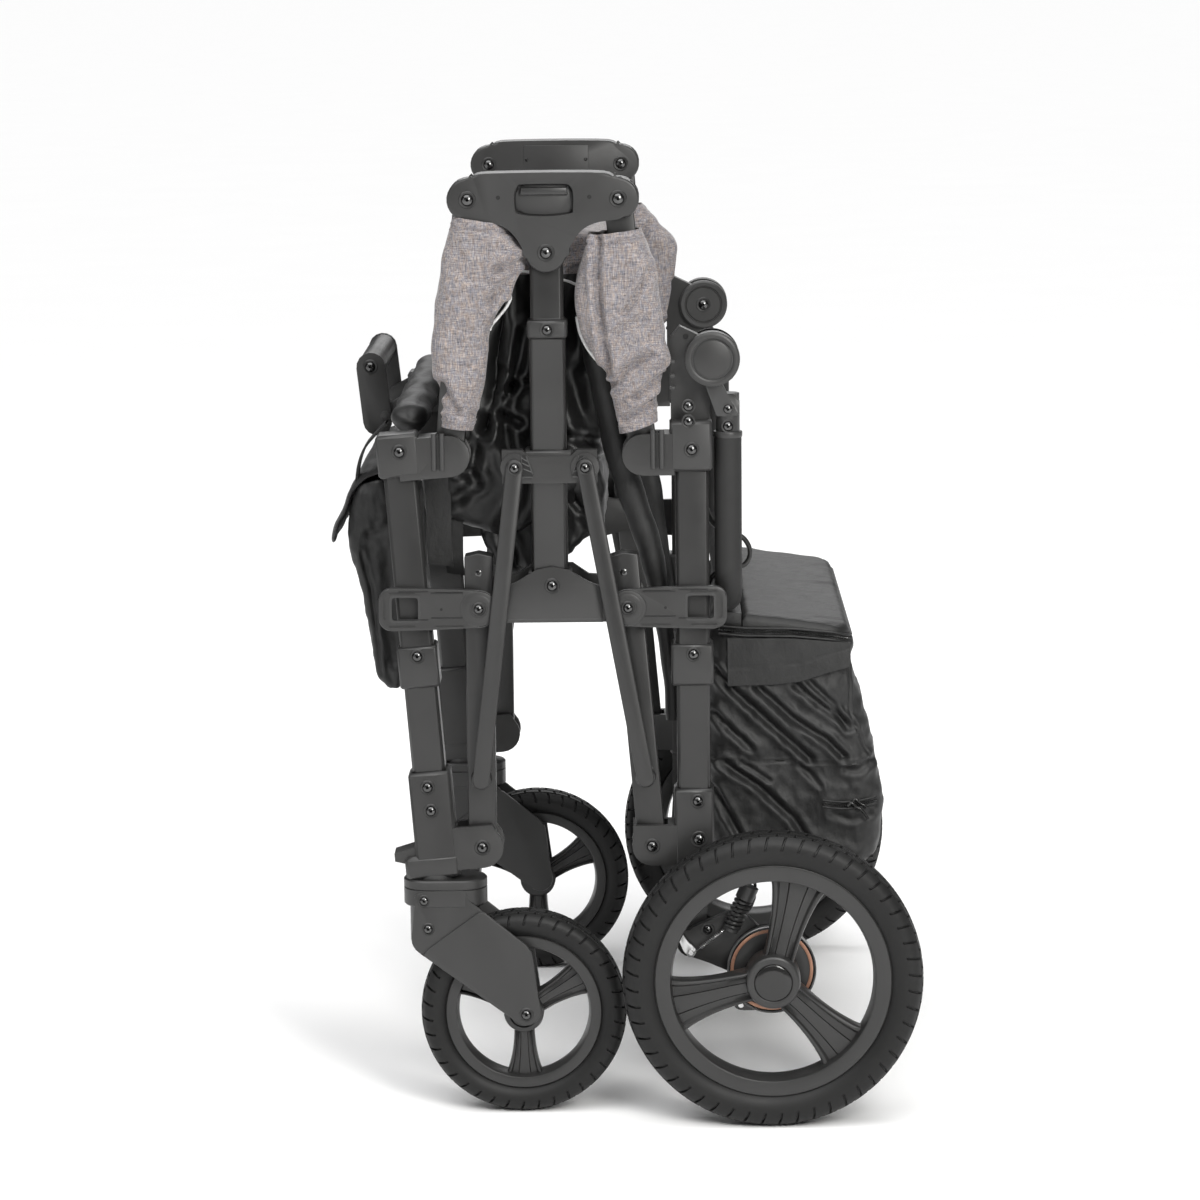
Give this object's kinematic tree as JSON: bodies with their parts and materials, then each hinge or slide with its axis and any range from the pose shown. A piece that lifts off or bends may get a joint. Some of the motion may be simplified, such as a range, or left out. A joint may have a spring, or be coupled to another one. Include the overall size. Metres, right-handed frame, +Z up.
{
  "type": "folding pet stroller",
  "caption": "Folding pet stroller, stored folded on its wheels: hinged side rails, cloth cabin, basket, casters, push and pull handles.",
  "frame": {"origin": "middle of the bounding box at floor level", "axes": "+X to the rear (push handle and basket), -X to the front (pouch and casters), +Z up, -Y the near side"},
  "size_m": [0.59, 0.723, 0.948],
  "materials": {
    "frame_paint": "matte dark charcoal coating",
    "moulded_plastic": "fine-grained dark grey moulding",
    "tyre_rubber": "matte black",
    "wheel_plastic": "satin dark grey",
    "grip_foam": "matte black foam",
    "black_cloth": "black polyester, slight sheen",
    "heather_cloth": "warm grey heather weave",
    "cable_sheath": "black sheath"
  },
  "bodies": {
    "rear_frame": {"rear_post_near": "frame_paint", "rear_post_far": "frame_paint", "rear_top_bracket_near": "moulded_plastic", "rear_top_bracket_far": "moulded_plastic", "rear_axle_frame": "frame_paint", "storage_basket": "black_cloth", "brake_cable": "cable_sheath"},
    "push_handle": {"push_handle": "frame_paint", "push_handle_grip": "grip_foam"},
    "basket_lid": {"basket_lid": "black_cloth"},
    "front_frame": {"front_post_near": "frame_paint", "front_post_far": "frame_paint", "front_top_bracket_near": "moulded_plastic", "front_top_bracket_far": "moulded_plastic", "front_foot_near": "moulded_plastic", "front_foot_far": "moulded_plastic", "front_crossbar": "grip_foam", "front_pouch": "black_cloth"},
    "pull_handle": {"pull_handle": "moulded_plastic"},
    "upper_rear_near": {"upper_rail_rear_near": "frame_paint", "rail_sleeve_rear_near": "heather_cloth"},
    "centre_near": {"top_bracket_near": "moulded_plastic", "centre_post_near": "frame_paint", "arch_bracket_near": "moulded_plastic", "cabin_fabric": "black_cloth"},
    "upper_front_near": {"upper_rail_front_near": "frame_paint", "rail_sleeve_front_near": "heather_cloth"},
    "lower_rear_near": {"lower_rail_rear_near": "frame_paint"},
    "lower_front_near": {"lower_rail_front_near": "frame_paint"},
    "slider_near": {"slider_near": "moulded_plastic"},
    "link_rear_near": {"link_rear_near": "frame_paint"},
    "link_front_near": {"link_front_near": "frame_paint"},
    "latch_rear_near": {"latch_arm_rear_near": "moulded_plastic"},
    "latch_front_near": {"latch_arm_front_near": "moulded_plastic"},
    "rear_arm_near": {"rear_swing_arm_near": "moulded_plastic"},
    "rear_wheel_near": {"rear_tyre_near": "tyre_rubber", "rear_wheel_near": "wheel_plastic"},
    "caster_near": {"caster_fork_near": "moulded_plastic"},
    "front_wheel_near": {"front_tyre_near": "tyre_rubber", "front_wheel_near": "wheel_plastic"},
    "upper_rear_far": {"upper_rail_rear_far": "frame_paint", "rail_sleeve_rear_far": "heather_cloth"},
    "centre_far": {"top_bracket_far": "moulded_plastic", "centre_post_far": "frame_paint", "arch_bracket_far": "moulded_plastic"},
    "upper_front_far": {"upper_rail_front_far": "frame_paint", "rail_sleeve_front_far": "heather_cloth"},
    "lower_rear_far": {"lower_rail_rear_far": "frame_paint"},
    "lower_front_far": {"lower_rail_front_far": "frame_paint"},
    "slider_far": {"slider_far": "moulded_plastic"},
    "link_rear_far": {"link_rear_far": "frame_paint"},
    "link_front_far": {"link_front_far": "frame_paint"},
    "latch_rear_far": {"latch_arm_rear_far": "moulded_plastic"},
    "latch_front_far": {"latch_arm_front_far": "moulded_plastic"},
    "rear_arm_far": {"rear_swing_arm_far": "moulded_plastic"},
    "rear_wheel_far": {"rear_tyre_far": "tyre_rubber", "rear_wheel_far": "wheel_plastic"},
    "caster_far": {"caster_fork_far": "moulded_plastic"},
    "front_wheel_far": {"front_tyre_far": "tyre_rubber", "front_wheel_far": "wheel_plastic"}
  },
  "joints": [
    {"name": "unfold", "type": "hinge", "parent": "rear_frame", "child": "upper_rear_near", "pos_m": [0.02, -0.281, 0.671], "axis": [0, -1, 0], "range_deg": [0, 85]},
    {"name": "unfold_far", "type": "hinge", "parent": "rear_frame", "child": "upper_rear_far", "pos_m": [0.02, 0.281, 0.671], "axis": [0, -1, 0], "range_deg": [0, 85]},
    {"name": "centre_level_near", "type": "hinge", "parent": "upper_rear_near", "child": "centre_near", "pos_m": [-0.002, -0.281, 0.923], "axis": [0, -1, 0], "range_deg": [-85, 0]},
    {"name": "upper_front_near", "type": "hinge", "parent": "centre_near", "child": "upper_front_near", "pos_m": [-0.149, -0.281, 0.923], "axis": [0, 1, 0], "range_deg": [0, 85]},
    {"name": "lower_rear_near", "type": "hinge", "parent": "rear_frame", "child": "lower_rear_near", "pos_m": [0.026, -0.281, 0.276], "axis": [0, -1, 0], "range_deg": [0, 85]},
    {"name": "lower_front_near", "type": "hinge", "parent": "centre_near", "child": "lower_front_near", "pos_m": [-0.144, -0.281, 0.528], "axis": [0, 1, 0], "range_deg": [0, 90]},
    {"name": "slider_near", "type": "slide", "parent": "centre_near", "child": "slider_near", "axis": [0, 0, 1], "range_m": [0, 0.105]},
    {"name": "link_rear_near", "type": "hinge", "parent": "slider_near", "child": "link_rear_near", "pos_m": [-0.037, -0.281, 0.66], "axis": [0, -1, 0], "range_deg": [0, 33.1]},
    {"name": "link_front_near", "type": "hinge", "parent": "slider_near", "child": "link_front_near", "pos_m": [-0.1065, -0.281, 0.66], "axis": [0, 1, 0], "range_deg": [0, 35.4]},
    {"name": "latch_rear_near", "type": "hinge", "parent": "centre_near", "child": "latch_rear_near", "pos_m": [0.004, -0.281, 0.519], "axis": [0, -1, 0], "range_deg": [0, 75]},
    {"name": "latch_front_near", "type": "hinge", "parent": "centre_near", "child": "latch_front_near", "pos_m": [-0.144, -0.281, 0.519], "axis": [0, 1, 0], "range_deg": [0, 75]},
    {"name": "rear_suspension_near", "type": "hinge", "parent": "rear_frame", "child": "rear_arm_near", "pos_m": [0.064, -0.281, 0.174], "axis": [0, -1, 0], "range_deg": [0, 5], "stiffness_Nm_per_rad": 120, "springref_deg": -5.73},
    {"name": "rear_wheel_spin_near", "type": "hinge", "parent": "rear_arm_near", "child": "rear_wheel_near", "pos_m": [0.145, -0.339, 0.15], "axis": [0, 1, 0], "continuous": true},
    {"name": "caster_swivel_near", "type": "hinge", "parent": "front_frame", "child": "caster_near", "pos_m": [-0.192, -0.281, 0.24], "axis": [-0.0778, 0, 0.997], "continuous": true},
    {"name": "front_wheel_spin_near", "type": "hinge", "parent": "caster_near", "child": "front_wheel_near", "pos_m": [-0.105, -0.281, 0.104], "axis": [0, 1, 0], "continuous": true},
    {"name": "centre_level_far", "type": "hinge", "parent": "upper_rear_far", "child": "centre_far", "pos_m": [-0.002, 0.281, 0.923], "axis": [0, -1, 0], "range_deg": [-85, 0]},
    {"name": "upper_front_far", "type": "hinge", "parent": "centre_far", "child": "upper_front_far", "pos_m": [-0.149, 0.281, 0.923], "axis": [0, 1, 0], "range_deg": [0, 85]},
    {"name": "lower_rear_far", "type": "hinge", "parent": "rear_frame", "child": "lower_rear_far", "pos_m": [0.026, 0.281, 0.276], "axis": [0, -1, 0], "range_deg": [0, 85]},
    {"name": "lower_front_far", "type": "hinge", "parent": "centre_far", "child": "lower_front_far", "pos_m": [-0.144, 0.281, 0.528], "axis": [0, 1, 0], "range_deg": [0, 90]},
    {"name": "slider_far", "type": "slide", "parent": "centre_far", "child": "slider_far", "axis": [0, 0, 1], "range_m": [0, 0.105]},
    {"name": "link_rear_far", "type": "hinge", "parent": "slider_far", "child": "link_rear_far", "pos_m": [-0.037, 0.281, 0.66], "axis": [0, -1, 0], "range_deg": [0, 33.1]},
    {"name": "link_front_far", "type": "hinge", "parent": "slider_far", "child": "link_front_far", "pos_m": [-0.1065, 0.281, 0.66], "axis": [0, 1, 0], "range_deg": [0, 35.4]},
    {"name": "latch_rear_far", "type": "hinge", "parent": "centre_far", "child": "latch_rear_far", "pos_m": [0.004, 0.281, 0.519], "axis": [0, -1, 0], "range_deg": [0, 75]},
    {"name": "latch_front_far", "type": "hinge", "parent": "centre_far", "child": "latch_front_far", "pos_m": [-0.144, 0.281, 0.519], "axis": [0, 1, 0], "range_deg": [0, 75]},
    {"name": "rear_suspension_far", "type": "hinge", "parent": "rear_frame", "child": "rear_arm_far", "pos_m": [0.064, 0.281, 0.174], "axis": [0, -1, 0], "range_deg": [0, 5], "stiffness_Nm_per_rad": 120, "springref_deg": -5.73},
    {"name": "rear_wheel_spin_far", "type": "hinge", "parent": "rear_arm_far", "child": "rear_wheel_far", "pos_m": [0.145, 0.339, 0.15], "axis": [0, 1, 0], "continuous": true},
    {"name": "caster_swivel_far", "type": "hinge", "parent": "front_frame", "child": "caster_far", "pos_m": [-0.192, 0.281, 0.24], "axis": [-0.0778, 0, 0.997], "continuous": true},
    {"name": "front_wheel_spin_far", "type": "hinge", "parent": "caster_far", "child": "front_wheel_far", "pos_m": [-0.105, 0.281, 0.104], "axis": [0, 1, 0], "continuous": true},
    {"name": "front_frame_level", "type": "hinge", "parent": "upper_front_near", "child": "front_frame", "pos_m": [-0.171, -0.281, 0.671], "axis": [0, -1, 0], "range_deg": [0, 82]},
    {"name": "push_handle_tilt", "type": "hinge", "parent": "rear_frame", "child": "push_handle", "pos_m": [0.089, 0, 0.765], "axis": [0, -1, 0], "range_deg": [0, 140]},
    {"name": "basket_lid_open", "type": "hinge", "parent": "rear_frame", "child": "basket_lid", "pos_m": [0.228, 0, 0.475], "axis": [0, 1, 0], "range_deg": [0, 100]},
    {"name": "pull_handle_tilt", "type": "hinge", "parent": "front_frame", "child": "pull_handle", "pos_m": [-0.246, 0, 0.688], "axis": [0, -1, 0], "range_deg": [0, 85]}
  ],
  "couplings": [
    {"joint": "unfold_far", "follows": "unfold", "ratio": 1},
    {"joint": "centre_level_near", "follows": "unfold", "ratio": -1},
    {"joint": "upper_front_near", "follows": "unfold", "ratio": 1},
    {"joint": "lower_rear_near", "follows": "unfold", "ratio": 1},
    {"joint": "lower_front_near", "follows": "unfold", "ratio": 1.0588},
    {"joint": "slider_near", "follows": "unfold", "m_per_rad": 0.070777},
    {"joint": "link_rear_near", "follows": "unfold", "ratio": 0.38941},
    {"joint": "link_front_near", "follows": "unfold", "ratio": 0.41647},
    {"joint": "centre_level_far", "follows": "unfold", "ratio": -1},
    {"joint": "upper_front_far", "follows": "unfold", "ratio": 1},
    {"joint": "lower_rear_far", "follows": "unfold", "ratio": 1},
    {"joint": "lower_front_far", "follows": "unfold", "ratio": 1.0588},
    {"joint": "slider_far", "follows": "unfold", "m_per_rad": 0.070777},
    {"joint": "link_rear_far", "follows": "unfold", "ratio": 0.38941},
    {"joint": "link_front_far", "follows": "unfold", "ratio": 0.41647},
    {"joint": "front_frame_level", "follows": "unfold", "ratio": 0.96423}
  ]
}
